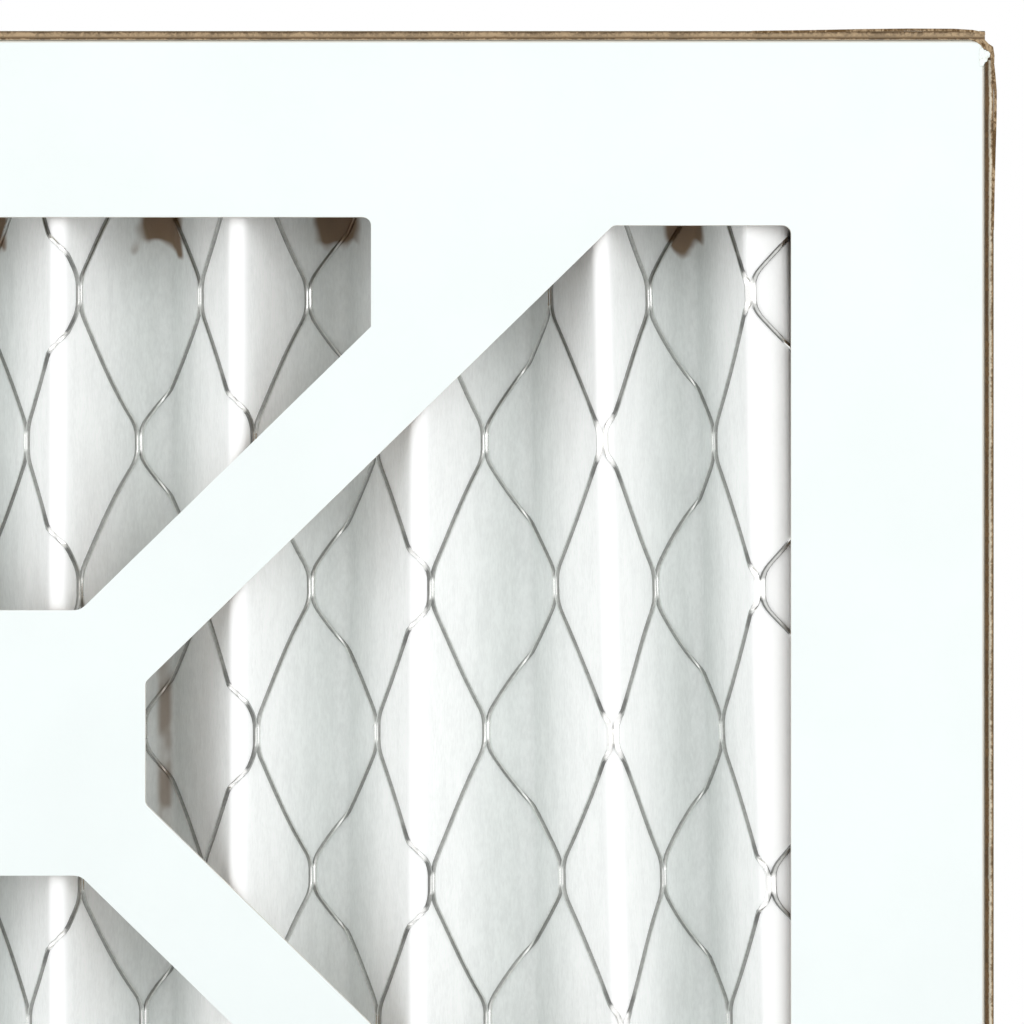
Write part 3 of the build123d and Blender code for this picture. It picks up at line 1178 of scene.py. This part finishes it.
def lit_world(stage):
    """White behind the panel and in what it mirrors; softer where it only lights."""
    world = bpy.data.worlds.new("studio")
    bpy.context.scene.world = world
    world.use_nodes = True
    tree = world.node_tree
    path = put(tree, "LightPath").outputs
    seen = calc(tree, "MAXIMUM", path["Is Camera Ray"], path["Is Glossy Ray"])
    seen = calc(tree, "MAXIMUM", seen, path["Is Transmission Ray"])
    strength = put(
        tree, "MapRange", {"Value": seen, "To Min": stage.ambient, "To Max": 1.0}
    ).outputs["Result"]
    background = tree.nodes["Background"]
    connect(tree, background.inputs["Color"], (1, 1, 1, 1))
    connect(tree, background.inputs["Strength"], strength)


def floor_material():
    """Plain pale card with the faintest grain, going over into the white behind it."""
    material, tree, shader = new_material("pale_floor", Roughness=0.8, Specular_IOR_Level=0.1)
    paper = place_group(tree, "paper", Point=object_point(tree, 1 / (10 * MM)))
    tone = blend(tree, paper["Cloud"], (0.93, 0.93, 0.93, 1), (0.95, 0.95, 0.95, 1))
    feed(tree, shader, Base_Color=tone)
    distance = put(tree, "VectorMath", {0: object_point(tree, 1.0)}, operation="LENGTH").outputs["Value"]
    far = ramp(tree, distance, 0.2, 0.38)
    seen = put(tree, "LightPath").outputs["Is Camera Ray"]
    white = put(tree, "Emission", {"Color": (1, 1, 1, 1), "Strength": 1.0}).outputs[0]
    mix = put(tree, "MixShader", {0: calc(tree, "MULTIPLY", far, seen), 1: shader.outputs[0], 2: white})
    tree.links.new(mix.outputs[0], tree.nodes["Material Output"].inputs["Surface"])
    return material


class FILTER_OT_stage(bpy.types.Operator):
    """Adds the floor, the soft light and the camera in front of the upper right corner"""

    bl_idname = "panel_filter.stage"
    bl_label = "Stage"

    def execute(self, context):
        stage = settings().stage
        bpy.ops.object.select_all(action="DESELECT")
        bpy.ops.mesh.primitive_plane_add(size=4, location=(0, 0, PANEL_LOW.z - 0.02 * MM))
        ground = bpy.context.object
        settle(ground, "floor")
        dress(ground, floor_material())
        aim = Vector((stage.aim_x, PANEL_LOW.y, stage.aim_z))
        add_lamp("key_lamp", (0.45, -1.05, 0.45), aim, 0.7, stage.key_power)
        add_lamp("fill_lamp", (-0.8, -0.7, 0.35), aim, 0.8, stage.fill_power)
        lit_world(stage)
        bpy.ops.object.camera_add(location=aim + Vector((0, -stage.distance, 0)), rotation=(pi / 2, 0, 0))
        camera = bpy.context.object
        camera.name = "camera"
        camera.data.name = "camera"
        camera.data.sensor_width = 36
        camera.data.lens = 36 * stage.distance / stage.view_width
        camera.data.clip_start = 0.01
        context.scene.camera = camera
        context.scene.view_settings.view_transform = "Standard"
        return {"FINISHED"}


class FILTER_PT_panel(bpy.types.Panel):
    """Lists the filter's pieces in the sidebar"""

    bl_idname = "FILTER_PT_panel"
    bl_label = "Pleated Panel Filter"
    bl_space_type = "VIEW_3D"
    bl_region_type = "UI"
    bl_category = "Filter"

    def draw(self, context):
        for part, operators in MAKERS:
            box = self.layout.box()
            if part:
                group = getattr(settings(), part)
                for name in group.bl_rna.properties.keys():
                    if name not in ("rna_type", "name"):
                        box.prop(group, name)
            for maker in operators:
                box.operator(maker.bl_idname)


MAKERS = (
    ("board", (FILTER_OT_board, FILTER_OT_corner)),
    ("pleats", (FILTER_OT_felt,)),
    ("backing", (FILTER_OT_backing,)),
    (None, (FILTER_OT_glue,)),
    ("stage", (FILTER_OT_stage,)),
)
CLASSES = (
    PleatSettings,
    BackingSettings,
    BoardSettings,
    StageSettings,
    FilterSettings,
    *(maker for _, makers in MAKERS for maker in makers),
    FILTER_PT_panel,
)


def register():
    for kind in CLASSES:
        bpy.utils.register_class(kind)
    bpy.types.Scene.panel_filter = PointerProperty(type=FilterSettings)


def unregister():
    del bpy.types.Scene.panel_filter
    for kind in reversed(CLASSES):
        bpy.utils.unregister_class(kind)


def main():
    register()
    fibre_group()
    paper_group()
    brown_shade_group()
    bpy.ops.panel_filter.board()
    bpy.ops.panel_filter.corner()
    bpy.ops.panel_filter.felt()
    bpy.ops.panel_filter.backing()
    bpy.ops.panel_filter.glue()
    bpy.ops.panel_filter.stage()


if __name__ == "__main__":
    main()
